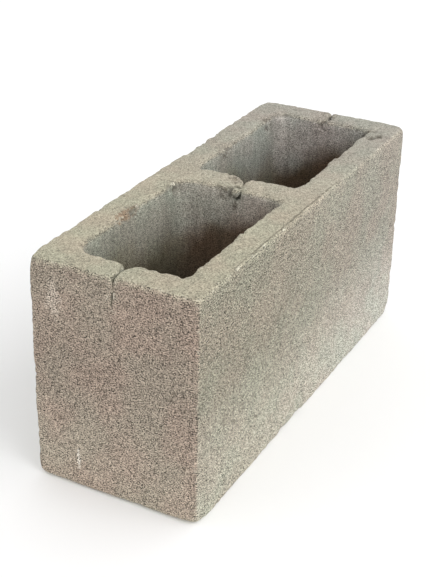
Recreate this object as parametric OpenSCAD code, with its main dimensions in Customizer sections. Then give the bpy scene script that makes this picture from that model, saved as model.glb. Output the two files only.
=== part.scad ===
// Two-core hollow concrete block, standing as it leaves the mould: cores upright,
// thin ends of the walls up. Millimetres, +Z up, +X along the length.
// The origin is the middle of the bottom bed face.

/* [Block] */
// Length of the block
block_l = 397; // [300:1:500]
// Width of the block, over both face shells
block_w = 143; // [110:1:220]
// Height of the block
block_h = 194; // [120:1:250]
// Radius worn on the outer edges
arris_r = 3; // [1:0.5:6]

/* [Walls] */
// Thickness of each long face shell at the top
shell_t = 25; // [19:0.5:35]
// Thickness of each end wall at the top
end_t = 25; // [19:0.5:35]
// Thickness of the web between two cores at the top
web_t = 28; // [19:0.5:45]

/* [Cores] */
// Number of cores along the block
core_count = 2; // [1:1:3]
// How far each side of a core draws in from the top to the bottom
core_draft = 3; // [0.5:0.5:5]
// Radius of a core's upright corners at the top
core_r = 12; // [8:1:20]
// Width of the bevel broken off round each mouth of a core
mouth_bevel = 2; // [0.5:0.5:3]

/* [Core bar marks] */
// Width of the slit that the mould's core bar leaves in each cross wall
slit_w = 1.6; // [1:0.1:3]
// Depth of the slit below the top
slit_depth = 27; // [10:1:60]
// Radius of the shoulders where a slit opens into a core
shoulder_r = 6; // [3:0.5:9]
// Depth of those shoulders below the top
shoulder_depth = 14; // [5:1:40]
// Width of the bevel along each top edge of the slit
slit_bevel = 1.5; // [0.5:0.5:3]

/* [Hidden] */
$fn = 48;
// Cuts run this far past the face they open
over = 1;
core_l = (block_l - 2 * end_t - (core_count - 1) * web_t) / core_count;
core_w = block_w - 2 * shell_t;
core_pitch = core_l + web_t;
// Middle of each core along the block
core_x = [for (i = [0 : core_count - 1]) (i - (core_count - 1) / 2) * core_pitch];
// Middle and thickness of each cross wall at the top, from one end to the other
end_wall_x = (block_l - end_t) / 2;
webs = [for (i = [1 : 1 : core_count - 1]) [(core_x[i - 1] + core_x[i]) / 2, web_t]];
cross_walls = concat([[-end_wall_x, end_t]], webs, [[end_wall_x, end_t]]);

// A bar along X with round ends to its section, for the edges of the outer body
module edge_bar(length) {
    rotate([0, 90, 0]) cylinder(r = arris_r, h = length, center = true);
}

// The outer body: three crossing slabs, with a round edge where each pair of faces meets
module outer_body() {
    l = block_l - 2 * arris_r;
    w = block_w - 2 * arris_r;
    h = block_h - 2 * arris_r;
    translate([0, 0, block_h / 2]) {
        cube([block_l, w, h], center = true);
        cube([l, block_w, h], center = true);
        cube([l, w, block_h], center = true);
        for (y = [-w / 2, w / 2], z = [-h / 2, h / 2])
            translate([0, y, z]) edge_bar(l);
        for (x = [-l / 2, l / 2], z = [-h / 2, h / 2])
            translate([x, 0, z]) rotate([0, 0, 90]) edge_bar(w);
        for (x = [-l / 2, l / 2], y = [-w / 2, w / 2])
            translate([x, y, 0]) rotate([0, 90, 0]) edge_bar(h);
        for (x = [-l / 2, l / 2], y = [-w / 2, w / 2], z = [-h / 2, h / 2])
            translate([x, y, z]) sphere(r = arris_r);
    }
}

// A trapezium prism: half_top wide at height h and half_bottom wide at 0, and deep in Y
module draft_slab(half_bottom, half_top, deep, h) {
    translate([0, deep / 2, 0]) rotate([90, 0, 0]) linear_extrude(deep)
        polygon([[-half_bottom, 0], [half_bottom, 0], [half_top, h], [-half_top, h]]);
}

// A plug with upright round corners and all four sides drawn in by the same amount.
// Its corners are cones that share their slope with the flat sides.
module draft_plug(l, w, r, draw, h) {
    flat_l = l - 2 * r;
    flat_w = w - 2 * r;
    draft_slab(l / 2 - draw, l / 2, flat_w, h);
    rotate([0, 0, 90]) draft_slab(w / 2 - draw, w / 2, flat_l, h);
    for (x = [-flat_l / 2, flat_l / 2], y = [-flat_w / 2, flat_w / 2])
        translate([x, y, 0]) cylinder(r1 = r - draw, r2 = r, h = h);
}

// The bevel at a mouth, as a plug that widens upwards to the given size plus the bevel
module mouth(l, w, r) {
    grow = mouth_bevel + over;
    translate([0, 0, -mouth_bevel])
        draft_plug(l + 2 * grow, w + 2 * grow, r + grow, grow, grow);
}

// One core: the tapered hole and the bevels round its two mouths
module core() {
    slope = core_draft / block_h;
    past = over * slope;
    l_bottom = core_l - 2 * core_draft;
    w_bottom = core_w - 2 * core_draft;
    translate([0, 0, -over])
        draft_plug(core_l + 2 * past, core_w + 2 * past, core_r + past,
                   core_draft + 2 * past, block_h + 2 * over);
    translate([0, 0, block_h]) mouth(core_l, core_w, core_r);
    mirror([0, 0, 1]) mouth(l_bottom, w_bottom, core_r - core_draft);
}

// The shoulders where a slit opens towards +X, seen from above: a notch with round sides
module shoulder_notch() {
    half = shoulder_r + slit_w / 2;
    difference() {
        translate([0, -half]) square([shoulder_r + over, 2 * half]);
        for (side = [-1, 1])
            translate([0, side * half]) circle(r = shoulder_r);
    }
}

// The mark of the core bar in one cross wall: a slit through the wall, bevelled along its
// top, with round shoulders wherever it opens into a core
module core_bar_mark(wall_t, opens_low, opens_high) {
    through = wall_t + 2 * over;
    translate([-through / 2, -slit_w / 2, block_h - slit_depth])
        cube([through, slit_w, slit_depth + over]);
    half = slit_w / 2 + slit_bevel;
    translate([0, 0, block_h - slit_bevel]) rotate([0, 0, 90])
        draft_slab(slit_w / 2, half + over, through, slit_bevel + over);
    for (side = [-1, 1])
        if (side < 0 ? opens_low : opens_high)
            translate([side * (wall_t / 2 - shoulder_r), 0, block_h - shoulder_depth])
                mirror([side < 0 ? 1 : 0, 0, 0])
                    linear_extrude(shoulder_depth + over) shoulder_notch();
}

// The whole block, cast in one piece
module block() {
    color("darkgray") difference() {
        outer_body();
        for (x = core_x) translate([x, 0, 0]) core();
        for (i = [0 : len(cross_walls) - 1])
            translate([cross_walls[i][0], 0, 0])
                core_bar_mark(cross_walls[i][1], i > 0, i < len(cross_walls) - 1);
    }
}

block();
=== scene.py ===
# %% [markdown]
# # A worn hollow concrete block
# The block is one casting: dry concrete is shaken and pressed into a steel mould, pushed out
# at once and left to harden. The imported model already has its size, its walls, its two cores and
# the three slits. This lesson puts back what the mould, the handling and the years gave it.
# Everything is in metres in the frame's own axes: X along the block, Y across it, Z up.

# %% Load the frame
import math
import bpy
import numpy as np
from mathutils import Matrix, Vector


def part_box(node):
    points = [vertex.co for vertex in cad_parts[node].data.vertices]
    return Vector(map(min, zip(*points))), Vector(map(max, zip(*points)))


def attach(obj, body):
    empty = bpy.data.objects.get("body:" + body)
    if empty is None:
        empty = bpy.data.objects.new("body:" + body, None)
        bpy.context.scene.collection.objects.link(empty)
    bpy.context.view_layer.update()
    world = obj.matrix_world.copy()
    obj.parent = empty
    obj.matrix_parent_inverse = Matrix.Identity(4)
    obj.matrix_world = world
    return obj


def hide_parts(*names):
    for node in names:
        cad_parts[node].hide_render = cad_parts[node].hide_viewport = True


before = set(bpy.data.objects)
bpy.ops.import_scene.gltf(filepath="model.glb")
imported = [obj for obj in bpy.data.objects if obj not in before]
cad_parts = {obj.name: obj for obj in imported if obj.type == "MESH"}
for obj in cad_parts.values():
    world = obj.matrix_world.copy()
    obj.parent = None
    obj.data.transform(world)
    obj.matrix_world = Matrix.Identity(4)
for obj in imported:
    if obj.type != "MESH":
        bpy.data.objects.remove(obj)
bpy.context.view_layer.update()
import openvdb as vdb
from mathutils import Matrix, Vector
low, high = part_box("block")

# %% [markdown]
# ## Measures of the block
# A shop drawing of such a block is in millimetres, so the shape is worked out in millimetres and
# only turned into metres when the mesh is made. The outer sizes are read from the frame. The
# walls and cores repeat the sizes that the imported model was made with.

# %% Sizes in millimetres
MM = 0.001
block_l = (high.x - low.x) / MM
block_w = (high.y - low.y) / MM
block_h = (high.z - low.z) / MM
shell_t = 25.0
end_t = 25.0
web_t = 28.0
core_draft = 3.0
core_l = (block_l - 2 * end_t - web_t) / 2
core_w = block_w - 2 * shell_t
core_x = (core_l + web_t) / 2
HALF_L = block_l / 2
HALF_W = block_w / 2
TOP = block_h
print("block", round(block_l, 2), round(block_w, 2), round(block_h, 2), "core", core_l, core_w)

# %% [markdown]
# ## A field to carve in
# Chips, crumbled rims and pores are hard to model by pushing vertices about, because material is
# missing in lumps that don't follow any edge. A distance field makes it simple. It is a grid of
# numbers, each saying how far that point is outside the concrete (inside is negative). Rounding,
# cutting and crumbling are then sums and maxima of fields, and the surface is where the number
# is zero. The grid here has a cell of one millimetre, the size of a coarse grain of sand.

# %% The grid
CELL = 1.0
MARGIN = 1.5


def grid_axis(lowest, length):
    count = int(round(length / CELL)) + 4
    return (lowest - MARGIN + CELL * np.arange(count)).astype(np.float32)


axis_x = grid_axis(-HALF_L, block_l)
axis_y = grid_axis(-HALF_W, block_w)
axis_z = grid_axis(0.0, block_h)
x = axis_x[:, None, None]
y = axis_y[None, :, None]
z = axis_z[None, None, :]
grid_start = np.array([axis_x[0], axis_y[0], axis_z[0]])
print("grid", len(axis_x), len(axis_y), len(axis_z))

# %% [markdown]
# ## Lumps
# Everything uneven about concrete comes in sizes: waves as wide as a hand, lumps as big as a
# pea, grains of sand. One helper makes all of them. It throws seeded random numbers on a coarse
# lattice and smooths them up to the full grid, so a lump is about as wide as the lattice's cell.
# The result is scaled to an average of zero and a spread of one, which makes amounts easy to set.

# %% Seeded lumps of any size
def spline_weights(axis, cell):
    u = (axis - axis[0]) / cell
    first = np.floor(u).astype(int)
    t = u - first
    weights = np.zeros((len(axis), first.max() + 4), np.float32)
    rows = np.arange(len(axis))
    weights[rows, first] = (1 - t) ** 3 / 6
    weights[rows, first + 1] = (3 * t**3 - 6 * t**2 + 4) / 6
    weights[rows, first + 2] = (-3 * t**3 + 3 * t**2 + 3 * t + 1) / 6
    weights[rows, first + 3] = t**3 / 6
    return weights


def lumps(seed, across, along_z=None):
    wx = spline_weights(axis_x, across)
    wy = spline_weights(axis_y, across)
    wz = spline_weights(axis_z, along_z or across)
    rng = np.random.default_rng(seed)
    lattice = rng.standard_normal((wx.shape[1], wy.shape[1], wz.shape[1])).astype(np.float32)
    field = np.tensordot(wx, lattice, axes=(1, 0))
    field = np.matmul(wy, field)
    field = np.matmul(field, wz.T)
    return (field - field.mean()) / field.std()


hand_waves = lumps(11, 42)
pea_lumps = lumps(12, 9)
print("lumps", hand_waves.shape, round(float(pea_lumps.max()), 2))

# %% [markdown]
# ## Joining and cutting softly
# Real concrete has no edge that is truly sharp. A soft maximum cuts one field with another and
# rounds the edge that is left; a soft minimum joins two hollows and rounds the corner between
# them. The third number is the size of the rounding, and it may itself be a field, so that an
# arris can be crisp in one place and worn in another.

# %% Soft cuts and joins
def soft_max(a, b, size):
    meet = np.maximum(size - np.abs(a - b), 0) / size
    return np.maximum(a, b) + meet * meet * size / 4


def soft_min(a, b, size):
    return -soft_max(-a, -b, size)


def ramp(value, start, end):
    t = np.clip((value - start) / (end - start), 0, 1)
    return t * t * (3 - 2 * t)


print("a rounding of 4 mm takes", float(soft_max(0.0, 0.0, 4.0)), "mm off an edge")


# %% [markdown]
# ## The outer form
# The mould gives straight sides, and every arris loses its edge when blocks knock together on
# the pallet. The shape could be a box with a bevel modifier, but a bevel is the same all along.
# A box field with rounded edges lets the radius drift from place to place. A few corners and the
# foot of one end have had a harder life, so the radius grows there. Each worn corner is given by
# its side in X, its side in Y, whether it is at the top, and its radius.

# %% Outer form with worn arrises
ARRIS_R = 1.7
ARRIS_DRIFT = 0.4
CORNER_SPREAD = 1.7
FOOT_WEAR = 3.6
FOOT_REACH = 7
worn_corners = [
    (-1, 1, 1, 7.0),
    (1, -1, 1, 6.5),
    (-1, -1, 0, 5.5),
    (-1, 1, 0, 3.5),
    (1, -1, 0, 6.0),
    (1, 1, 1, 6.0),
    (-1, -1, 1, 3.0),
]
arris_r = ARRIS_R + ARRIS_DRIFT * lumps(21, 13)
for side_x, side_y, top, radius in worn_corners:
    away = np.sqrt(
        (x - side_x * HALF_L) ** 2
        + (y - side_y * HALF_W) ** 2
        + (z - top * block_h) ** 2
    )
    arris_r = arris_r + (radius - ARRIS_R) * np.exp(-((away / (CORNER_SPREAD * radius)) ** 2))
foot = np.exp(-((z / FOOT_REACH) ** 2)) * np.exp(-(((x + HALF_L) / FOOT_REACH) ** 2))
arris_r = np.clip(arris_r + FOOT_WEAR * foot, 1.2, 12)
out_x = np.abs(x) - HALF_L
out_y = np.abs(y) - HALF_W
out_z = np.abs(z - block_h / 2) - block_h / 2
rounded = np.sqrt(
    np.maximum(out_x + arris_r, 0) ** 2
    + np.maximum(out_y + arris_r, 0) ** 2
    + np.maximum(out_z + arris_r, 0) ** 2
)
deepest = np.maximum(np.maximum(out_x, out_y), out_z)
outer = rounded + np.minimum(deepest + arris_r, 0) - arris_r
print("outer form", outer.dtype, round(float(arris_r.max()), 1))

# %% [markdown]
# ## The cores
# Two steel cores hang in the mould, thicker at the top so that they pull out. Their outline is a
# rectangle with rounded upright corners, and no two corners come out alike, so every corner has
# a radius of its own: the key is the core, then the corner's side in X and in Y. The outline also
# wanders a little, because the rim crumbles as the steel leaves it.

# %% Two drafted cores
corner_radii = {
    (-1, -1, -1): 7.0,
    (-1, -1, 1): 15.0,
    (-1, 1, -1): 11.0,
    (-1, 1, 1): 14.0,
    (1, -1, -1): 11.0,
    (1, -1, 1): 9.0,
    (1, 1, -1): 10.0,
    (1, 1, 1): 12.0,
}
RIM_WANDER = 0.55
depth = (block_h - z) / block_h
wander = RIM_WANDER * lumps(31, 16, 90)
core_fields = []
for core in (-1, 1):
    in_x = x - core * core_x
    reach_x = core_l / 2 - core_draft * depth + wander
    reach_y = core_w / 2 - core_draft * depth + wander
    radius = np.zeros((len(axis_x), len(axis_y), 1), np.float32)
    for side_x in (-1, 1):
        for side_y in (-1, 1):
            here = (np.sign(in_x + 0.01) == side_x) & (np.sign(y + 0.01) == side_y)
            radius = np.where(here, corner_radii[(core, side_x, side_y)], radius)
    radius = radius - core_draft * depth
    past_x = np.abs(in_x) - reach_x
    past_y = np.abs(y) - reach_y
    bend = np.sqrt(np.maximum(past_x + radius, 0) ** 2 + np.maximum(past_y + radius, 0) ** 2)
    core_fields.append(bend + np.minimum(np.maximum(past_x, past_y) + radius, 0) - radius)
cores = np.minimum(core_fields[0], core_fields[1])
print("cores", cores.shape)

# %% [markdown]
# ## The slits of the core bar
# A flat bar carries the steel cores across the top of the mould, and it leaves a slit in each
# cross wall. The concrete closes up behind it, so the slit is thin, leans a little, and has
# healed almost shut on some of the core walls. Where it opens into a core, the loose edges have
# rounded off into shoulders. One upright sheet of space along the middle of the block makes all
# three slits, because between the cross walls there is only air to cut. Its place, lean, half
# width, closing, depth and shoulders change along the block, so each is a short list of stations
# in X with the value there. The lip beyond the middle line has shoulders of its own.

# %% Three slits
def along(stations, values):
    return np.interp(axis_x, stations, values).astype(np.float32)[:, None, None]


slit_mid_y = along(
    [-198, -184, -172, -16, -4, 14, 172, 180, 198],
    [-0.8, -0.8, 0.6, -3.4, -4.2, -1.0, -2.0, -1.5, 0.6],
)
slit_lean = along([-172, -20, 20, 170], [0.06, 0.12, 0.12, -0.03])
slit_half = along(
    [-199, -188, -176, -16, 0, 12, 172, 190, 198],
    [0.6, 0.75, 0.9, 0.7, 0.75, 1.2, 0.35, 0.35, 0.4],
)
slit_closed = along([-198, -176, -18, 12, 172, 190], [0.25, 0.1, 0.9, 0.1, 0.9, 0.2])
slit_deep = along(
    [-176, -18, -12, -4, 12, 172, 182, 190],
    [24.5, 6.0, 8.0, 22.0, 26.0, 3.0, 3.5, 24.0],
)
slit_wander = lumps(41, 7)
below_top = block_h - z
slit_width = slit_half * (1 - slit_closed * ramp(below_top, 3, 11))
middle = slit_mid_y + slit_lean * below_top + 0.3 * slit_wander
slit_sides = np.abs(y - middle) - slit_width - 0.12 * slit_wander
slit = np.maximum(slit_sides, below_top - slit_deep)
lip_stations = [-190, -150, -22, -10, 0, 14, 150, 200]
near_lip = along(lip_stations, [11, 11, 4, 6, 12, 14, 4, 4])
far_lip = along(lip_stations, [7, 7, 3, 6, 13, 16, 3, 3])
beyond_slit = y > middle
shoulder_size = np.where(beyond_slit, far_lip, near_lip)
shoulder = 2.0 + (shoulder_size - 2.0) * ramp(z, block_h - 24, block_h - 3)
hollow = soft_min(cores, slit, shoulder)
print("slit", round(float(slit_width.min() * 2), 2), "mm at its thinnest")

# %% [markdown]
# ## The worn form
# Cutting the hollow out of the outer form leaves the rims. The press leaves the near rims neat,
# but along the far side and the far end of each core they have crumbled into a rough slope. The
# rounding of the cut is a field that grows along those rims. In the slits it is small, and
# smaller still where they come out on an end, so that they stay crisp lines there.

# %% Cut the hollow and wear its rims
far_side = ramp(y, 30, 42) * np.ones_like(x)
far_end = np.maximum(ramp(x, -34, -18) * ramp(-x, -2, 6), ramp(x, 160, 172)) * np.ones_like(y)
RIM_R = 1.7
SLIT_R = 2.0
rim_wear = RIM_R + 1.7 * far_side + 2.6 * far_end + 0.7 * pea_lumps
in_slit = ramp(cores - slit, 1, 6)
on_end = ramp(np.abs(x), HALF_L - 8, HALF_L - 2) * ramp(below_top, 2, 7)
slit_wear = SLIT_R - 1.3 * np.maximum(on_end, ramp(x, 168, 176))
slit_wear = slit_wear + 1.8 * ramp(-x, 165, 175) * beyond_slit * (1 - on_end)
rim_wear = np.clip(rim_wear, 1.0, 9) * (1 - in_slit) + slit_wear * in_slit
form = soft_max(outer, -hollow, rim_wear)
print("form", round(float(form.min()), 1))

# %% [markdown]
# ## Chips, pits and crumbs
# A chip is a lump of space bitten out of an edge, so it is a squashed ball with a rough surface.
# Each is cut only in the small part of the grid around it, which keeps hundreds of them quick.

# %% A helper that bites
bite_rough = lumps(51, 3.0)


def bite(field, centre, size, soft=1.0, rough=0.6):
    spans = []
    for axis, middle_mm, reach in zip((axis_x, axis_y, axis_z), centre, size):
        near = np.nonzero(np.abs(axis - middle_mm) < reach + 4)[0]
        spans.append(slice(near[0], near[-1] + 1))
    here = tuple(spans)
    gone = np.sqrt(
        ((axis_x[spans[0]][:, None, None] - centre[0]) / size[0]) ** 2
        + ((axis_y[spans[1]][None, :, None] - centre[1]) / size[1]) ** 2
        + ((axis_z[spans[2]][None, None, :] - centre[2]) / size[2]) ** 2
    )
    gone = (gone - 1) * min(size) + rough * bite_rough[here]
    field[here] = soft_max(field[here], -gone, soft)


print("a bite wanders by up to", round(float(bite_rough.max()), 1), "times its roughness")

# %% [markdown]
# ## Chips that can be pointed at
# Some losses are part of how this block looks, so each is listed with its own size: the
# nibbled foot, the far top arris, the notch over the far slit, the broken corner of the far
# core, and the hole in the web. Every line is a centre and three half sizes.

# %% Chips that can be pointed at
known_chips = [
    # the foot
    ((-18, -HALF_W, -0.5), (7.0, 3.2, 3.6)),
    ((-34, -HALF_W, -0.8), (6.0, 1.6, 2.0)),
    ((HALF_L, -HALF_W + 1, 3.0), (6.5, 5.0, 7.0)),
    # the near top arrises
    ((-HALF_L, 21.6, TOP - 2.2), (1.5, 1.9, 1.2)),
    ((-146, -HALF_W + 1.8, TOP), (2.2, 1.5, 1.6)),
    ((-HALF_L, -44, TOP), (1.6, 4.5, 1.3)),
    # the far top arris
    ((46, HALF_W, TOP), (13.0, 3.0, 3.4)),
    ((64, HALF_W, TOP), (10.0, 3.4, 3.8)),
    ((84, HALF_W, TOP), (6.0, 1.8, 2.0)),
    ((-138, HALF_W, TOP), (8.0, 1.6, 2.0)),
    # the notch over the far slit and the cracked corner of the far core
    ((HALF_L, 0.8, TOP), (2.6, 2.0, 1.5)),
    ((153, -54.5, TOP), (1.8, 3.0, 1.9)),
    ((157, -58.5, TOP), (3.6, 1.6, 2.0)),
    ((164, -59.8, TOP), (4.6, 1.5, 1.8)),
    ((167, -42.0, TOP + 1), (6.5, 6.0, 5.0)),
    ((173.5, -33.0, TOP - 3), (2.6, 2.2, 2.4)),
    # the hole in the web and the pits below it
    ((-14.5, -2.4, TOP - 4), (6.0, 6.0, 6.0)),
    ((-15.0, -4.6, TOP - 12), (1.1, 1.2, 2.2)),
    ((-15.4, -3.4, TOP - 17), (0.9, 1.1, 1.8)),
    ((-15.4, -6.4, TOP - 14.5), (0.9, 1.1, 1.5)),
]
plain_form = form.copy()
for centre, size in known_chips:
    bite(form, centre, size)
print("known chips", len(known_chips))

# %% [markdown]
# ## The crumb in the web
# In the slit of the web sits a crumb that broke but never fell out. It is put back into the hole
# that was just bitten: a rough lump, and a second one that ties it to the back of the hole, with
# a dark gap round them. Putting back is biting in reverse, so the field is turned inside out,
# bitten, and turned back.

# %% Put the crumb back
def put_back(field, centre, size, rough=0.7):
    space = -field
    bite(space, centre, size, 0.8, rough)
    field[...] = -space


put_back(form, (-14.2, -3.5, TOP - 3.8), (4.0, 3.9, 3.9), 1.5)
put_back(form, (-10.5, -4.0, TOP - 5.4), (4.0, 2.8, 4.2))
print("crumb in place")

# %% [markdown]
# ## A line along every arris
# Chips sit on edges, so the edges have to be known first: the twelve of the outside, and the four
# round each mouth of each core. The lower mouths are smaller, because the cores draw in.

# %% Lines along the arrises
def edge_line(start, end):
    return np.array(start, float), np.array(end, float)


arris_lines = []
for side_y in (-HALF_W, HALF_W):
    for level in (0.0, TOP):
        arris_lines.append(edge_line((-HALF_L, side_y, level), (HALF_L, side_y, level)))
for side_x in (-HALF_L, HALF_L):
    for level in (0.0, TOP):
        arris_lines.append(edge_line((side_x, -HALF_W, level), (side_x, HALF_W, level)))
    for side_y in (-HALF_W, HALF_W):
        arris_lines.append(edge_line((side_x, side_y, 0.0), (side_x, side_y, TOP)))
for core in (-core_x, core_x):
    for level, draft in ((0.0, core_draft), (TOP, 0.0)):
        reach_x = core_l / 2 - draft
        reach_y = core_w / 2 - draft
        for side in (-1, 1):
            start = (core - reach_x, side * reach_y, level)
            arris_lines.append(edge_line(start, (core + reach_x, side * reach_y, level)))
            start = (core + side * reach_x, -reach_y, level)
            arris_lines.append(edge_line(start, (core + side * reach_x, reach_y, level)))
print("arris lines", len(arris_lines))

# %% [markdown]
# ## Chips that nobody counts
# Every arris also carries a scatter of small losses. Their places and sizes come from a seeded
# throw along those lines. Most are tiny, and each is stretched along its edge by its own amount.

# %% Scattered small chips
EDGE_CHIP_EVERY = 24.0
CHIP_JITTER = 0.8
chip_dice = np.random.default_rng(61)
edge_chips = 0
for start, end in arris_lines:
    run = end - start
    run_length = float(np.linalg.norm(run))
    for count in range(int(run_length / EDGE_CHIP_EVERY)):
        place = start + run * chip_dice.uniform(0.01, 0.99)
        place = place + chip_dice.uniform(-CHIP_JITTER, CHIP_JITTER, 3)
        size = chip_dice.uniform(0.6, 1.2) * (1 + 1.3 * chip_dice.random() ** 4)
        stretch = 1 + 1.6 * chip_dice.random() * np.abs(run) / run_length
        bite(form, place, size * stretch, 0.8, 0.45)
        edge_chips += 1
print("edge chips", edge_chips)

# %% [markdown]
# ## Open pores
# Dry concrete doesn't fill its mould completely. The faces show small holes where no paste
# reached between the grains. The larger ones are cut here, so that they are really there in the
# mesh; holes finer than a millimetre come later from the finish.

# %% Pores in the faces
PORES_PER_FACE = {"end": 70, "shell": 150}
pore_dice = np.random.default_rng(62)


def pore(place, size):
    squash = pore_dice.uniform(0.75, 1.3, 3)
    bite(form, place, size * squash, 0.5, 0.35)


pores = 0
for side in (-1, 1):
    for count in range(PORES_PER_FACE["end"]):
        place = (side * HALF_L, pore_dice.uniform(-HALF_W, HALF_W), pore_dice.uniform(4, TOP - 4))
        pore(place, 0.75 + 0.5 * pore_dice.random() ** 3)
        pores += 1
    for count in range(PORES_PER_FACE["shell"]):
        place = (pore_dice.uniform(-HALF_L, HALF_L), side * HALF_W, pore_dice.uniform(4, TOP - 4))
        pore(place, 0.75 + 0.7 * pore_dice.random() ** 3)
        pores += 1
print("pores", pores)

# %% [markdown]
# ## Relief of the surfaces
# Last come the unevenness of the faces and the crumbling of the rims. Waves, lumps and sand
# grains are added up as material that is taken away, in millimetres for a lump of spread one. The
# rims, the arrises and the web's slit crumble more than the flats. The average that the flats
# lose is given back at the end, so that they stay where the mould left them.

# %% Relief
sand = lumps(71, 2.6)
grit = lumps(72, 4.2)
middle_of_three = out_x + out_y + out_z - deepest - np.minimum(np.minimum(out_x, out_y), out_z)
on_arris = ramp(middle_of_three, -5, -0.5)
rim_gap = np.maximum(-outer, hollow)
on_rim = ramp(-np.abs(rim_gap), -6.5, -1.0)
web_slit = ramp(-slit, -6, -1) * ramp(z, block_h - 26, block_h - 18) * ramp(-np.abs(x), -24, -14)
crumble = 0.10 * on_arris + on_rim * (0.28 + 0.45 * far_side + 0.3 * far_end) + 0.5 * web_slit
crumble = np.clip(crumble * np.clip(1 - in_slit * on_end * 2, 0, 1), 0, 1)
WAVE_MM, LUMP_MM, GRIT_MM, SAND_MM = 0.07, 0.03, 0.05, 0.09
RIM_GRIT_MM, RIM_SAND_MM = 0.9, 0.5
FLAT_MM = 0.28
relief = WAVE_MM * (hand_waves + 2.0) + LUMP_MM * (pea_lumps + 2.0)
relief = relief + GRIT_MM * np.clip(grit + 1.6, 0, None) + SAND_MM * np.clip(sand + 1.8, 0, None)
rim_loss = RIM_GRIT_MM * np.clip(grit + 0.4, 0, None) + RIM_SAND_MM * np.clip(sand, 0, None)
relief = relief + crumble * rim_loss
relief = relief - FLAT_MM
print("crumble", round(float(crumble.max()), 2), "at most")

# %% [markdown]
# ## Places that crumble most
# A dozen places round the slits and the far rims have lost far more than the rest. Each is given
# by its middle in X and Y and its reach. They only go a finger's width down from the top, and
# they spare the ends, where the press held the paste.

# %% Crumbly places
PLACE_GRIT_MM, PLACE_SAND_MM = 1.9, 1.0
crumbly_places = [
    (-13, 7, 7),
    (-6, -9, 5),
    (9, 7, 7),
    (-1, 1, 5),
    (176, 3, 8),
    (190, 5, 6),
    (169, -45, 8),
    (159, -57, 6),
    (-27, 46, 7),
    (-88, 46, 8),
    (66, 46, 9),
    (152, 46, 8),
]
crumbly = np.zeros_like(out_x + out_y)
for middle_x, middle_y, reach in crumbly_places:
    apart = (x - middle_x) ** 2 + (y - middle_y) ** 2
    crumbly = np.maximum(crumbly, np.exp(-(apart / reach**2)))
off_end = np.clip(1 - on_end * ramp(below_top, 1, 4), 0, 1)
crumbly = crumbly * ramp(z, block_h - 16, block_h - 8) * off_end
place_loss = PLACE_GRIT_MM * np.clip(grit + 0.1, 0, 1.6) + PLACE_SAND_MM * np.clip(sand, 0, 2)
relief = relief + crumbly * place_loss
worn = form + np.maximum(relief, 0)
print("relief", round(float(relief.mean()), 2), "mm on average")

# %% [markdown]
# ## From field to mesh
# The volume library draws the surface where the field passes zero. That gives one closed mesh of
# almost half a million squares. Specks that the crumbling may have cut free are dropped, by
# giving every point its own number, letting the lowest number spread along the edges, and
# keeping only the points that share the commonest one.

# %% Draw the surface
TRIANGLE_LIMIT = 196000
BAND = 3.0
grid = vdb.FloatGrid(BAND)
grid.copyFromArray(np.ascontiguousarray(np.clip(worn, -BAND, BAND).astype(np.float32)))
points, triangles, quads = grid.convertToPolygons(isovalue=0.0, adaptivity=0.0)
print("drawn", len(points), "points", len(triangles), "triangles", len(quads), "quads")


def biggest_piece(point_count, faces):
    label = np.arange(point_count)
    links = np.concatenate([faces[:, [0, 1]], faces[:, [1, 2]], faces[:, [2, 3]]])
    while True:
        lowest = np.minimum(label[links[:, 0]], label[links[:, 1]])
        before = label.copy()
        np.minimum.at(label, label[links[:, 0]], lowest)
        np.minimum.at(label, label[links[:, 1]], lowest)
        label = label[label]
        if np.array_equal(label, before):
            break
    names, sizes = np.unique(label, return_counts=True)
    return label == names[sizes.argmax()], len(names)


kept, piece_count = biggest_piece(len(points), quads)
new_number = np.cumsum(kept) - 1
quads = new_number[quads[kept[quads[:, 0]]]]
points = points[kept]
points = points * CELL + grid_start
print("pieces found", piece_count, "points kept", len(points))

# %% [markdown]
# ## A lighter mesh
# Most of the squares lie on flat ground. A voxel remesh would blur the crumbs, so a decimation is
# used: it spends the triangles where the surface bends. It can push a point out by a hair, so the
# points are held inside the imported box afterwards, and the block never grows past its size.

# %% Build the mesh object
block_mesh = bpy.data.meshes.new("worn_block")
block_mesh.vertices.add(len(points))
block_mesh.vertices.foreach_set("co", (points * MM).astype(np.float32).ravel())
block_mesh.loops.add(len(quads) * 4)
block_mesh.loops.foreach_set("vertex_index", quads.astype(np.int32).ravel())
block_mesh.polygons.add(len(quads))
block_mesh.polygons.foreach_set("loop_start", np.arange(0, len(quads) * 4, 4, dtype=np.int32))
block_mesh.update(calc_edges=True)
block = bpy.data.objects.new("worn_block", block_mesh)
bpy.context.scene.collection.objects.link(block)
thin = block.modifiers.new("fewer triangles", "DECIMATE")
thin.ratio = TRIANGLE_LIMIT / (2 * len(quads))
thin.use_collapse_triangulate = True
bpy.context.view_layer.update()
thinned = block.evaluated_get(bpy.context.evaluated_depsgraph_get())
light_mesh = bpy.data.meshes.new_from_object(thinned)
block.modifiers.clear()
block.data = light_mesh
bpy.data.meshes.remove(block_mesh)
light_mesh.name = "worn_block"
light_mesh.polygons.foreach_set("use_smooth", np.ones(len(light_mesh.polygons), bool))
spots = np.zeros(len(light_mesh.vertices) * 3, np.float32)
light_mesh.vertices.foreach_get("co", spots)
spots = np.clip(spots.reshape(-1, 3), np.array(low, np.float32), np.array(high, np.float32))
light_mesh.vertices.foreach_set("co", spots.ravel())
light_mesh.update()
spots = spots.astype(float) / MM
print("mesh", len(light_mesh.vertices), "vertices", len(light_mesh.polygons), "triangles")

# %% [markdown]
# ## Reading the fields back
# The fields still know things that the mesh has lost. A helper reads a field at any place, by
# weighing the eight grid points around it by how near they are.

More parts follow.
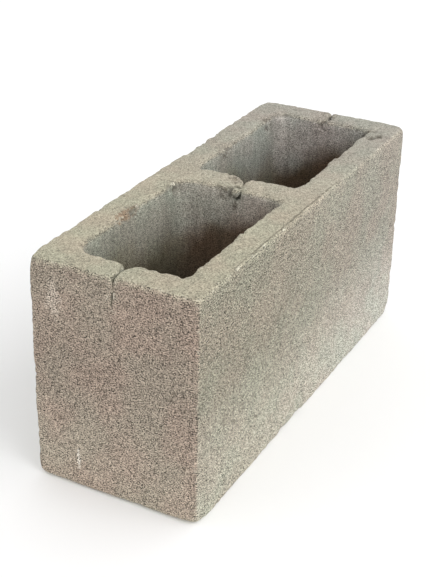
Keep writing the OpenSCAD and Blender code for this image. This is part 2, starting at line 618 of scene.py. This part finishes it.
# %% Look up a field at any place
def look_up(field, spots):
    places = (spots - grid_start) / CELL
    last = np.array(field.shape) - 2
    base = np.clip(np.floor(places).astype(int), 0, last)
    part = np.clip(places - base, 0, 1)
    total = np.zeros(len(spots))
    for corner in range(8):
        step = np.array([corner & 1, (corner >> 1) & 1, (corner >> 2) & 1])
        share = np.prod(np.where(step, part, 1 - part), axis=1)
        at = base + step
        total += share * field[at[:, 0], at[:, 1], at[:, 2]]
    return total


print("mesh lies", round(float(np.abs(look_up(worn, spots)).mean()), 3), "mm off its field")

# %% [markdown]
# ## What each spot of the surface is
# The finish has to know whether a spot is a struck top, a moulded face, a core wall or a worn
# edge. It could ask for the normal, but every grain of sand turns that. The slope of the clean
# form, before any chip was bitten, says better which way the face looks. The answers are kept as
# named attributes, shares between 0 and 1 that fade into each other.

# %% Keep the answers on the mesh
SLOPE_REACH = 1.5
steps = SLOPE_REACH * np.eye(3)
slopes = [look_up(plain_form, spots + step) - look_up(plain_form, spots - step) for step in steps]
slope = np.array(slopes).T
slope = slope / np.maximum(np.linalg.norm(slope, axis=1, keepdims=True), 1e-6)
inside = look_up(np.broadcast_to(outer, worn.shape), spots)


def keep(name, values):
    shares = np.clip(values, 0, 1).astype(np.float32)
    layer = light_mesh.attributes.new(name, "FLOAT", "POINT")
    layer.data.foreach_set("value", shares)
    print(name, "covers", round(float(shares.mean()), 3))


core_share = ramp(-inside, 1.5, 5.0)
keep("core_wall", core_share)
keep("end_face", slope[:, 0] ** 2 * (1 - core_share))
keep("shell_face", slope[:, 1] ** 2 * (1 - core_share))
keep("core_end", np.abs(slope[:, 0]) * core_share)
keep("bed_face", slope[:, 2] ** 2)
keep("arris", look_up(on_arris, spots))
keep("rim", look_up(on_rim, spots))
keep("sunk", (-look_up(plain_form, spots) - 0.6) / 2.5)
keep("crumbled", look_up(crumbly, spots))

# %% [markdown]
# ## Small helpers for nodes
# A finish is a web of nodes, and wiring them one by one hides the idea. Each helper here makes one
# kind of node and wires what it is given: a number goes on the socket, an output gets a link. The
# tree comes first, so that the helpers serve the groups as well as the material.

# %% Shader helpers
def feed(tree, value, socket):
    if hasattr(value, "is_linked"):
        tree.links.new(value, socket)
    elif value is not None:
        socket.default_value = value


def sum_node(tree, operation, a, b=None, c=None):
    node = tree.nodes.new("ShaderNodeMath")
    node.operation = operation
    for slot, value in enumerate((a, b, c)):
        feed(tree, value, node.inputs[slot])
    return node.outputs[0]


def fade(tree, value, start, end, first=0.0, last=1.0):
    node = tree.nodes.new("ShaderNodeMapRange")
    node.interpolation_type = "SMOOTHSTEP"
    parts = {"Value": value, "From Min": start, "From Max": end, "To Min": first, "To Max": last}
    for name, part in parts.items():
        feed(tree, part, node.inputs[name])
    return node.outputs[0]


def noise(tree, position, scale, detail=2.0, roughness=0.5):
    node = tree.nodes.new("ShaderNodeTexNoise")
    feed(tree, position, node.inputs["Vector"])
    feed(tree, scale, node.inputs["Scale"])
    node.inputs["Detail"].default_value = detail
    node.inputs["Roughness"].default_value = roughness
    return node.outputs["Fac"]


def new_group(name, sockets):
    tree = bpy.data.node_groups.new(name, "ShaderNodeTree")
    for label, direction, kind, value in sockets:
        socket = tree.interface.new_socket(label, in_out=direction, socket_type="NodeSocket" + kind)
        if value is not None:
            socket.default_value = value
    return tree, tree.nodes.new("NodeGroupInput").outputs, tree.nodes.new("NodeGroupOutput").inputs


print("shader helpers ready")

# %% [markdown]
# ## A pattern of cells
# A cell pattern breaks space up round scattered points, much as grains fill it. It gives three
# things at once: how far off the nearest point is, and two random numbers for each cell, one for
# its tone and one to draw lots with.

# %% The cell pattern
def cells(tree, position, scale):
    node = tree.nodes.new("ShaderNodeTexVoronoi")
    feed(tree, position, node.inputs["Vector"])
    feed(tree, scale, node.inputs["Scale"])
    dice = tree.nodes.new("ShaderNodeSeparateColor")
    feed(tree, node.outputs["Color"], dice.inputs["Color"])
    return {"gap": node.outputs["Distance"], "tone": dice.outputs["Red"], "luck": dice.outputs["Green"]}


print("cell pattern ready")

# %% [markdown]
# ## Sand in the paste
# Seen close, dry-cast concrete is a crowd of sand grains, each with its own tone, with dark
# pinholes between them. Plain noise has lumps of every size, so it looks like cloud and not like
# sieved sand. Two patterns do better together: a Gabor noise, which ripples at one width only,
# and a fine cell pattern, which gives each grain its own tone. A wider cell pattern gives the
# rounded tops for the bump, and a few of its cells are thrown out as pinholes. The ripple stays
# out of the height, because a bump reads its height three times and the ripple is slow. The group
# takes a place, a grain size in millimetres and the share of pinholes, and puts out only values.

# %% The sand group
RIPPLE_CELLS = 0.25
RIPPLE_FREQUENCY = 2.0
FINE_SHARE = 0.5
WIDE_CELLS = 0.5
HOLE_EDGE = 0.42
HOLE_FLOOR = 0.18
HOLE_DEPTH = -1.5
DOME = 0.8
sand_group, given, result = new_group("Sand in the paste", [
    ("Position", "INPUT", "Vector", None),
    ("Grain size", "INPUT", "Float", 1.3),
    ("Pinholes", "INPUT", "Float", 0.1),
    ("Tone", "OUTPUT", "Float", None),
    ("Pinhole", "OUTPUT", "Float", None),
    ("Height", "OUTPUT", "Float", None),
])
per_mm = sum_node(sand_group, "DIVIDE", 1.0, given["Grain size"])
fine = cells(sand_group, given["Position"], per_mm)
wide = cells(sand_group, given["Position"], sum_node(sand_group, "MULTIPLY", per_mm, WIDE_CELLS))
ripple = sand_group.nodes.new("ShaderNodeTexGabor")
ripple.gabor_type = "3D"
ripple.inputs["Frequency"].default_value = RIPPLE_FREQUENCY
ripple.inputs["Anisotropy"].default_value = 0.0
feed(sand_group, given["Position"], ripple.inputs["Vector"])
feed(sand_group, sum_node(sand_group, "MULTIPLY", per_mm, RIPPLE_CELLS), ripple.inputs["Scale"])
ripple_part = sum_node(sand_group, "SUBTRACT", ripple.outputs["Value"], 0.5)
fine_part = sum_node(sand_group, "SUBTRACT", fine["tone"], 0.5)
feed(sand_group, sum_node(sand_group, "MULTIPLY_ADD", fine_part, FINE_SHARE, ripple_part), result["Tone"])
chosen = sum_node(sand_group, "LESS_THAN", wide["luck"], given["Pinholes"])
round_hole = fade(sand_group, wide["gap"], HOLE_EDGE, HOLE_FLOOR)
hole = sum_node(sand_group, "MULTIPLY", chosen, round_hole)
feed(sand_group, hole, result["Pinhole"])
dome = sum_node(sand_group, "MULTIPLY_ADD", wide["gap"], -DOME, DOME)
feed(sand_group, sum_node(sand_group, "MULTIPLY_ADD", hole, HOLE_DEPTH, dome), result["Height"])
print("sand group", len(sand_group.nodes), "nodes")

# %% [markdown]
# ## Clouds in the paste
# Water and cement are never mixed quite evenly, so the faces carry soft clouds as wide as a hand,
# some darker and some warmer. Shade and warmth come from the same noise read in two places far
# apart, so that a dark cloud isn't always a warm one.

# %% The cloud group
FAR_PLACE = (137.0, 59.0, 83.0)
cloud_group, given, result = new_group("Clouds in the paste", [
    ("Position", "INPUT", "Vector", None),
    ("Width", "INPUT", "Float", 60.0),
    ("Shade", "OUTPUT", "Float", None),
    ("Warmth", "OUTPUT", "Float", None),
])
per_width = sum_node(cloud_group, "DIVIDE", 1.0, given["Width"])
shade = noise(cloud_group, given["Position"], per_width, 3.0, 0.55)
feed(cloud_group, fade(cloud_group, shade, 0.3, 0.7), result["Shade"])
aside = cloud_group.nodes.new("ShaderNodeVectorMath")
aside.inputs[1].default_value = FAR_PLACE
feed(cloud_group, given["Position"], aside.inputs[0])
per_warm_width = sum_node(cloud_group, "MULTIPLY", per_width, 1.4)
warmth = noise(cloud_group, aside.outputs[0], per_warm_width, 2.0, 0.5)
feed(cloud_group, fade(cloud_group, warmth, 0.32, 0.68), result["Warmth"])
print("cloud group", len(cloud_group.nodes), "nodes")

# %% [markdown]
# ## A spot in one known place
# A scuff, a stain or a shadowed crack is a spot with a place, a reach each way and a ragged edge.
# Dividing the distance by the reach turns any such spot into a ball of size one, and a noise added
# to that distance tears its edge. One group serves them all.

# %% The spot group
SPOT_TEAR = 4.0
SPOT_START = 1.15
SPOT_FULL = 0.55
spot_group, given, result = new_group("Ragged spot", [
    ("Position", "INPUT", "Vector", None),
    ("Centre", "INPUT", "Vector", (0.0, 0.0, 0.0)),
    ("Reach", "INPUT", "Vector", (5.0, 5.0, 5.0)),
    ("Raggedness", "INPUT", "Float", 0.6),
    ("Spot", "OUTPUT", "Float", None),
])


def vector_step(tree, operation, a, b=None):
    node = tree.nodes.new("ShaderNodeVectorMath")
    node.operation = operation
    feed(tree, a, node.inputs[0])
    feed(tree, b, node.inputs[1])
    return node.outputs


from_centre = vector_step(spot_group, "SUBTRACT", given["Position"], given["Centre"])[0]
in_reach = vector_step(spot_group, "DIVIDE", from_centre, given["Reach"])[0]
how_far = vector_step(spot_group, "LENGTH", in_reach)["Value"]
ragged = sum_node(spot_group, "SUBTRACT", noise(spot_group, given["Position"], 0.35, 3.0, 0.6), 0.5)
torn = sum_node(spot_group, "MULTIPLY", ragged, given["Raggedness"])
edge = sum_node(spot_group, "MULTIPLY_ADD", torn, SPOT_TEAR, how_far)
feed(spot_group, fade(spot_group, edge, SPOT_START, SPOT_FULL), result["Spot"])
print("spot group", len(spot_group.nodes), "nodes")

# %% [markdown]
# ## The concrete
# The whole block has one material, because it is one casting. The finish works in millimetres of
# the block's own space, so that it stays put when the block is moved.

# %% Start the concrete material
concrete = bpy.data.materials.new("dry_cast_concrete")
concrete.use_nodes = True
tree = concrete.node_tree
shader = tree.nodes["Principled BSDF"]
shader.inputs["Specular IOR Level"].default_value = 0.2
where = tree.nodes.new("ShaderNodeTexCoord")
to_mm = tree.nodes.new("ShaderNodeVectorMath")
to_mm.operation = "SCALE"
to_mm.inputs["Scale"].default_value = 1000.0
feed(tree, where.outputs["Object"], to_mm.inputs[0])
place_mm = to_mm.outputs[0]
place_parts = tree.nodes.new("ShaderNodeSeparateXYZ")
feed(tree, place_mm, place_parts.inputs[0])
place_x, place_y, place_z = place_parts.outputs
print("material started with", len(tree.nodes), "nodes")

# %% [markdown]
# ## Helpers for the finish
# The finish needs a few helpers of its own: to read an attribute, to mix two colours, to place a
# group and to do sums. The mix node keeps a pair of inputs for each kind of data; six and seven
# are its two colours, and output two is the mixed one.

# %% Finish helpers
MIX_A, MIX_B, MIX_RESULT = 6, 7, 2


def attribute(name):
    node = tree.nodes.new("ShaderNodeAttribute")
    node.attribute_name = name
    return node.outputs["Fac"]


def mix(share, a, b, blend="MIX"):
    node = tree.nodes.new("ShaderNodeMix")
    node.data_type = "RGBA"
    node.blend_type = blend
    feed(tree, share, node.inputs[0])
    for slot, value in ((MIX_A, a), (MIX_B, b)):
        feed(tree, (*value, 1.0) if isinstance(value, tuple) else value, node.inputs[slot])
    return node.outputs[MIX_RESULT]


def grey(value):
    node = tree.nodes.new("ShaderNodeCombineColor")
    for channel in ("Red", "Green", "Blue"):
        feed(tree, value, node.inputs[channel])
    return node.outputs[0]


def use_group(group, **settings):
    node = tree.nodes.new("ShaderNodeGroup")
    node.node_tree = group
    feed(tree, place_mm, node.inputs["Position"])
    for name, value in settings.items():
        feed(tree, value, node.inputs[name.replace("_", " ")])
    return node.outputs


def plus(a, b):
    return sum_node(tree, "ADD", a, b)


def times(a, b):
    return sum_node(tree, "MULTIPLY", a, b)


def minus(a, b):
    return sum_node(tree, "SUBTRACT", a, b)


def times_plus(a, b, c):
    return sum_node(tree, "MULTIPLY_ADD", a, b, c)


print("finish helpers ready")

# %% [markdown]
# ## Colours of the outside
# The colour of a block is the colour of its cement, stained by its sand. On this one the struck
# top is a yellowish grey, the long faces are greener and the ends are pinker. The foot of the
# outside is painted paler, as painted light from below, and some of the top's paste was dragged
# over the edge as the top was struck. The levels waver, so that no change runs along a ruled line.

# %% Top, long faces and ends
SHELL_GREY = (0.237, 0.221, 0.175)
END_GREY = (0.232, 0.192, 0.157)
BED_GREY = (0.360, 0.335, 0.258)
FAR_BED_GREY = (0.320, 0.304, 0.246)
# painted light: these two colours paint the foot paler, standing in for light from below
FOOT_PAINTED_LIGHT = (0.400, 0.391, 0.325)
END_FOOT_PAINTED_LIGHT = (0.315, 0.272, 0.221)
FOOT_LIGHT_TOP = 125.0
FOOT_LIGHT_BOTTOM = 5.0
FOOT_LIGHT_SHARE = 0.76
core = attribute("core_wall")
bed = attribute("bed_face")
end_face = attribute("end_face")
height = plus(place_z, times_plus(noise(tree, place_mm, 0.02, 2.0), 60.0, -30.0))
height_fine = plus(place_z, times_plus(noise(tree, place_mm, 0.25, 2.0), 10.0, -5.0))
# painted light from below: the outside is painted paler towards the foot, a little less on the ends
foot_light = times(fade(tree, height, FOOT_LIGHT_TOP, FOOT_LIGHT_BOTTOM), minus(1.0, core))
foot_light = times(foot_light, times_plus(end_face, -0.10, FOOT_LIGHT_SHARE))
colour = mix(end_face, SHELL_GREY, END_GREY)
colour = mix(foot_light, colour, mix(end_face, FOOT_PAINTED_LIGHT, END_FOOT_PAINTED_LIGHT))
dragged = times(fade(tree, height_fine, 187.5, 193.5), 0.5)
colour = mix(dragged, colour, BED_GREY)
bed_colour = mix(fade(tree, place_x, -60.0, 190.0), BED_GREY, FAR_BED_GREY)
colour = mix(bed, colour, bed_colour)
print("outside colours mixed")

# %% [markdown]
# ## Colours inside the cores
# The steel rubbed the core walls, so they are the coolest and carry faint upright streaks. Down
# in the hole the walls are painted darker and browner with depth: painted shade, where little light
# reaches. The painted shade stands higher on the end walls and the web than on the long sides, and
# it slopes across them, with more on the end walls towards the near long side. On the long sides it
# climbs a little near each core's first wall, as painted shadow of that wall. Higher up, the walls
# that face along the block are painted lighter than the long sides, as painted light.

# %% Core walls
CORE_GREY = (0.290, 0.293, 0.246)
# painted shade: the dark colour of the deep long core walls
DEEP_PAINTED_SHADE = (0.058, 0.046, 0.030)
# painted light: the upper core end walls are painted lighter than the long core walls
CORE_END_GREY_PAINTED_LIGHTER = (0.376, 0.360, 0.310)
# painted shade: the dark colours of the deep core end walls, then the warm tint of the deep long walls
# and the painted shade towards the near side
CORE_END_PAINTED_SHADE = (0.146, 0.103, 0.068)
SECOND_END_PAINTED_SHADE = (0.120, 0.082, 0.048)
SIDE_SHADE_WARMTH = (1.06, 0.98, 0.84)
END_SHADE = (0.82, 0.80, 0.80)
STREAK_SCALE = (0.30, 0.30, 0.03)
FIRST_WALL = 173.0
CORE_PITCH = 187.0
rubbed = vector_step(tree, "MULTIPLY", place_mm, STREAK_SCALE)[0]
streak = fade(tree, noise(tree, rubbed, 1.0, 2.0), 0.3, 0.7, 0.88, 1.08)
in_second = sum_node(tree, "GREATER_THAN", place_x, 0.0)
# painted shadow: the painted shade climbs near each core's first wall, as that wall's shadow
past_wall = times_plus(in_second, -CORE_PITCH, plus(place_x, FIRST_WALL))
side_level = plus(height, fade(tree, past_wall, 30.0, 125.0, -17.0, 0.0))
# painted shade: the long core walls darken and warm with depth
core_side = mix(times(fade(tree, side_level, 185.0, 95.0), 0.95), CORE_GREY, DEEP_PAINTED_SHADE)
core_side = mix(fade(tree, side_level, 165.0, 125.0), core_side, SIDE_SHADE_WARMTH, "MULTIPLY")
# painted shade: the core end walls darken with depth, and more towards the near side
painted_shade_level = times_plus(place_y, 0.5, height)
core_end_painted_shade = mix(in_second, CORE_END_PAINTED_SHADE, SECOND_END_PAINTED_SHADE)
core_end = mix(fade(tree, painted_shade_level, 178.0, 149.0), CORE_END_GREY_PAINTED_LIGHTER, core_end_painted_shade)
core_end = mix(fade(tree, place_y, 32.0, 5.0), core_end, END_SHADE, "MULTIPLY")
core_colour = mix(attribute("core_end"), core_side, core_end)
core_colour = mix(1.0, core_colour, grey(streak), "MULTIPLY")
colour = mix(core, colour, core_colour)
print("core colours mixed")

# %% [markdown]
# ## Clouds and drifts
# The clouds shade and warm every face a little. Two slow drifts run along the block as well: the
# long faces grow lighter towards one end, and everything turns a touch cooler. The shade is kept
# aside for now, because the sand is added to it before it darkens anything.

# %% Clouds over everything
CLOUD_WIDTH = 55.0
COOL_CLOUD = (0.975, 1.01, 1.0)
WARM_CLOUD = (1.03, 0.985, 0.985)
WARM_END = (1.01, 1.0, 0.98)
COOL_END = (0.99, 0.985, 1.045)
clouds = use_group(cloud_group, Width=CLOUD_WIDTH)
shade = times_plus(clouds["Shade"], 0.10, 0.95)
along_shell = fade(tree, place_x, -200.0, 200.0, -0.10, 0.05)
shade = times_plus(attribute("shell_face"), along_shell, shade)
colour = mix(1.0, colour, mix(clouds["Warmth"], COOL_CLOUD, WARM_CLOUD), "MULTIPLY")
far_tint = mix(fade(tree, place_x, -150.0, 200.0), WARM_END, COOL_END)
colour = mix(1.0, colour, far_tint, "MULTIPLY")
print("clouds mixed")

# %% [markdown]
# ## Stains, crumbs and cracks
# The marks that can be pointed at are spots from the spot group. Each line is a centre, a reach,
# a paint and how strongly it covers. The crumbs are pale because a freshly broken grain is clean.
# The cracks are dark because no light gets in, and paint helps where a crack is thinner than the
# mesh can carry. The long thin one is the seam where the struck top meets the moulded face.

# %% Marks in known places
FRESH_CRUMB = (0.600, 0.570, 0.470)
marks = [
    # the red-brown stain on the far rim, and the fresh crumbs along it
    ((-98.0, 48.4, 192.8), (17.0, 5.2, 6.0), (0.255, 0.186, 0.126), 0.95),
    ((149.0, 46.5, 193.0), (5.0, 2.6, 3.0), FRESH_CRUMB, 0.8),
    ((66.0, 47.5, 193.0), (6.0, 2.6, 3.0), FRESH_CRUMB, 0.75),
    ((-27.0, 47.0, 193.0), (4.0, 2.4, 3.0), FRESH_CRUMB, 0.7),
    ((-83.0, 47.5, 193.0), (4.0, 2.4, 3.0), FRESH_CRUMB, 0.7),
    # pale grains on the near arris
    ((-63.0, -71.0, 194.0), (3.6, 1.8, 2.2), (0.520, 0.495, 0.400), 0.65),
    ((-97.5, -71.0, 194.0), (3.0, 1.8, 2.2), (0.520, 0.495, 0.400), 0.6),
    ((-115.0, -71.0, 194.0), (5.5, 1.8, 2.2), (0.500, 0.475, 0.385), 0.55),
    ((-141.0, -70.5, 194.0), (6.5, 1.9, 2.2), (0.500, 0.475, 0.385), 0.6),
    # cracks round the crumb in the web
    ((-14.0, 1.4, 189.0), (3.0, 1.5, 5.0), (0.100, 0.086, 0.068), 0.85),
    ((-11.0, -0.5, 192.0), (2.0, 3.0, 3.0), (0.140, 0.120, 0.095), 0.5),
    ((-15.0, -3.6, 179.5), (3.0, 3.0, 7.5), (0.110, 0.095, 0.075), 0.75),
    ((-13.0, 6.0, 192.0), (2.6, 4.2, 3.5), (0.140, 0.120, 0.095), 0.5),
    ((3.0, 1.6, 192.5), (9.0, 1.5, 3.0), (0.150, 0.130, 0.100), 0.5),
    # cracks at the far core's corner, at the far slit and along the seam
    ((170.0, -37.0, 191.0), (4.0, 5.0, 3.5), (0.130, 0.110, 0.090), 0.6),
    ((172.0, -46.0, 193.0), (3.0, 4.0, 3.0), (0.150, 0.130, 0.100), 0.5),
    ((176.0, 1.5, 191.0), (8.0, 1.6, 4.0), (0.120, 0.105, 0.085), 0.6),
    ((160.0, -58.6, 193.0), (8.0, 1.3, 3.0), (0.150, 0.130, 0.105), 0.6),
    ((-55.0, -69.2, 194.0), (115.0, 0.9, 2.5), (0.150, 0.135, 0.100), 0.75),
    # a pale patch and a scratch on the end
    ((-198.5, 51.0, 163.0), (4.0, 7.0, 16.0), (0.420, 0.370, 0.310), 0.45),
    ((-198.5, 33.2, 27.5), (4.0, 1.7, 9.0), (0.540, 0.500, 0.435), 0.85),
]
for centre, reach, paint, strength in marks:
    spot = use_group(spot_group, Centre=centre, Reach=reach)["Spot"]
    colour = mix(times(spot, strength), colour, paint)
print("marks", len(marks))

# %% [markdown]
# ## Sand, pinholes and pale edges
# The sand is added to the shade and multiplied into the colour. It is strongest on the ends, and
# weaker where a surface was rubbed smooth: on the struck top by half, on the core walls by a
# third. Pinholes, sunken places and the open pits of crumbled spots get painted shade, for shadow
# too fine for the mesh. On worn edges a few grains have broken open and show pale.

# %% Sand over the colour
GRAIN_SIZE = 0.85
PINHOLE_PART = 0.10
DARKEST_TONE = 0.12
# painted shade: the three dark colours below paint the shade in pinholes, sunken places and pits
PINHOLE_PAINTED_SHADE = (0.050, 0.042, 0.034)
SUNK_PAINTED_SHADE = (0.13, 0.115, 0.092)
PIT_PAINTED_SHADE = (0.110, 0.095, 0.073)
BROKEN_GRAIN = (0.56, 0.53, 0.43)
sand_seen = use_group(sand_group, Grain_size=GRAIN_SIZE, Pinholes=PINHOLE_PART)
strength = times_plus(end_face, 0.25, 2.5)
strength = times_plus(bed, -1.25, strength)
strength = times_plus(core, -0.85, strength)
tone = times_plus(sand_seen["Tone"], strength, shade)
tone = sum_node(tree, "MAXIMUM", tone, DARKEST_TONE)
colour = mix(1.0, colour, grey(tone), "MULTIPLY")
# painted shade in pinholes, sunken places and the open pits of crumbled spots
colour = mix(times(sand_seen["Pinhole"], 0.55), colour, PINHOLE_PAINTED_SHADE)
colour = mix(times(attribute("sunk"), 0.65), colour, SUNK_PAINTED_SHADE)
open_pits = fade(tree, noise(tree, place_mm, 0.42, 2.0), 0.50, 0.60)
pit_shade_share = times(times(open_pits, attribute("crumbled")), 0.7)
colour = mix(pit_shade_share, colour, PIT_PAINTED_SHADE)
broken = fade(tree, noise(tree, place_mm, 0.34, 1.5), 0.58, 0.69)
edge_wear = sum_node(tree, "MAXIMUM", times(attribute("arris"), 0.7), times(attribute("rim"), 0.9))
colour = mix(times(times(broken, edge_wear), 0.62), colour, BROKEN_GRAIN)
feed(tree, colour, shader.inputs["Base Color"])
print("colour has", len(tree.nodes), "nodes")

# %% [markdown]
# ## Roughness and bump of the sand
# Dry concrete hardly shines at all. The paler grains are a shade rougher than the paste, and the
# grains' rounded tops and the pinholes go into a bump a fraction of a millimetre high, which
# catches the light without adding a single triangle.

# %% Roughness and bump
ROUGH = 0.9
ROUGH_SPREAD = 0.12
BUMP_HEIGHT = 0.4 * MM
feed(tree, times_plus(sand_seen["Tone"], ROUGH_SPREAD, ROUGH), shader.inputs["Roughness"])
bump = tree.nodes.new("ShaderNodeBump")
bump.inputs["Strength"].default_value = 0.4
bump.inputs["Distance"].default_value = BUMP_HEIGHT
feed(tree, sand_seen["Height"], bump.inputs["Height"])
feed(tree, bump.outputs["Normal"], shader.inputs["Normal"])
light_mesh.materials.append(concrete)
print("concrete", len(tree.nodes), "nodes")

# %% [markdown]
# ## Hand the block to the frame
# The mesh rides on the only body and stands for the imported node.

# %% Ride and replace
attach(block, "root")
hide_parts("block")
print("block stands for the packed node")

# %% [markdown]
# ## The floor
# A block is shown best on plain pale ground. A round disc, far wider than the view, has no corner
# or edge to show at the horizon.

# %% Pale floor
FLOOR_PALE = 0.93
FLOOR_REACH = 12.0
FLOOR_SIDES = 96
floor_material = bpy.data.materials.new("pale_floor")
floor_material.use_nodes = True
floor_shader = floor_material.node_tree.nodes["Principled BSDF"]
floor_shader.inputs["Base Color"].default_value = (FLOOR_PALE, FLOOR_PALE, FLOOR_PALE, 1)
floor_shader.inputs["Roughness"].default_value = 0.9
floor_mesh = bpy.data.meshes.new("floor")
turns = [2 * math.pi * k / FLOOR_SIDES for k in range(FLOOR_SIDES)]
ring = [(FLOOR_REACH * math.cos(turn), FLOOR_REACH * math.sin(turn), 0.0) for turn in turns]
floor_mesh.from_pydata(ring, [], [list(range(FLOOR_SIDES))])
floor_mesh.materials.append(floor_material)
floor = bpy.data.objects.new("floor", floor_mesh)
bpy.context.scene.collection.objects.link(floor)
print("floor", FLOOR_SIDES, "sides")

# %% [markdown]
# ## A pale surround
# The light is that of a white tent. The surround is bright low down and dimmer overhead, so the
# upright faces get their share and the top doesn't bleach, and it leans a little to one side.

# %% Surround
HORIZON_LIGHT = 1.64
ZENITH_LIGHT = 0.43
LEAN_Y = -0.16
LEAN_X = 0.06
world = bpy.data.worlds.new("pale_surround")
bpy.context.scene.world = world
world.use_nodes = True
sky = world.node_tree
direction = sky.nodes.new("ShaderNodeTexCoord")
direction_parts = sky.nodes.new("ShaderNodeSeparateXYZ")
feed(sky, direction.outputs["Generated"], direction_parts.inputs[0])
level = fade(sky, direction_parts.outputs["Z"], 0.45, 0.95, HORIZON_LIGHT, ZENITH_LIGHT)
lean = sum_node(sky, "MULTIPLY_ADD", direction_parts.outputs["Y"], LEAN_Y, 1.0)
lean = sum_node(sky, "MULTIPLY_ADD", direction_parts.outputs["X"], LEAN_X, lean)
feed(sky, sum_node(sky, "MULTIPLY", level, lean), sky.nodes["Background"].inputs["Strength"])
sky.nodes["Background"].inputs["Color"].default_value = (1.0, 1.0, 1.0, 1)
bpy.context.scene.view_settings.view_transform = "Standard"
print("surround from", ZENITH_LIGHT, "overhead to", HORIZON_LIGHT, "low down")

# %% [markdown]
# ## One soft panel
# A large soft panel high on the right gives the faces their difference and the block its shadow.
# A light shines along its own downward axis, so that axis is turned to face the block.

# %% Panel
PANEL_PLACE = (-0.4, -1.9, 2.0)
PANEL_AIM = (0, 0, 0.1)
PANEL_SIZE = 2.0
PANEL_WATTS = 26
panel_light = bpy.data.lights.new("high_panel", "AREA")
panel_light.shape = "SQUARE"
panel_light.size = PANEL_SIZE
panel_light.energy = PANEL_WATTS
panel = bpy.data.objects.new("high_panel", panel_light)
panel.location = PANEL_PLACE
panel_way = Vector(PANEL_AIM) - Vector(PANEL_PLACE)
panel.rotation_euler = panel_way.to_track_quat("-Z", "Y").to_euler()
bpy.context.scene.collection.objects.link(panel)
print("panel", PANEL_SIZE, "m wide")

# %% [markdown]
# ## The camera
# The camera looks down on one end and one long face. It is placed by a turn about the upright, a
# rise above the floor, a slight roll, and a distance in block heights, with a small slide to
# frame the block. A long lens keeps the upright edges nearly parallel.

# %% Camera
TURN = math.radians(-62.6486)
RISE = math.radians(27.5323)
ROLL = math.radians(1.3241)
CAMERA_AWAY = 5.584
SLIDE_RIGHT = -0.087
SLIDE_UP = -0.0097
SENSOR = 36.0
LENS_REACH = 1254.66
VIEW_TALL = 577
UNIT = block_h * MM
back = Vector((math.sin(TURN) * math.cos(RISE), -math.cos(TURN) * math.cos(RISE), math.sin(RISE)))
right = Vector((math.cos(TURN), math.sin(TURN), 0))
up = back.cross(right)
right, up = (
    math.cos(ROLL) * right + math.sin(ROLL) * up,
    math.cos(ROLL) * up - math.sin(ROLL) * right,
)
offset = SLIDE_RIGHT * right + SLIDE_UP * up + CAMERA_AWAY * back
stand = Vector((0, 0, UNIT / 2)) + UNIT * offset
camera_data = bpy.data.cameras.new("camera")
camera_data.sensor_width = SENSOR
camera_data.lens = SENSOR * LENS_REACH / VIEW_TALL
camera_data.clip_end = 100.0
camera = bpy.data.objects.new("camera", camera_data)
axes = Matrix((right, up, back)).transposed().to_4x4()
camera.matrix_world = Matrix.Translation(stand) @ axes
bpy.context.scene.collection.objects.link(camera)
bpy.context.scene.camera = camera
print("camera", [round(v, 3) for v in stand])
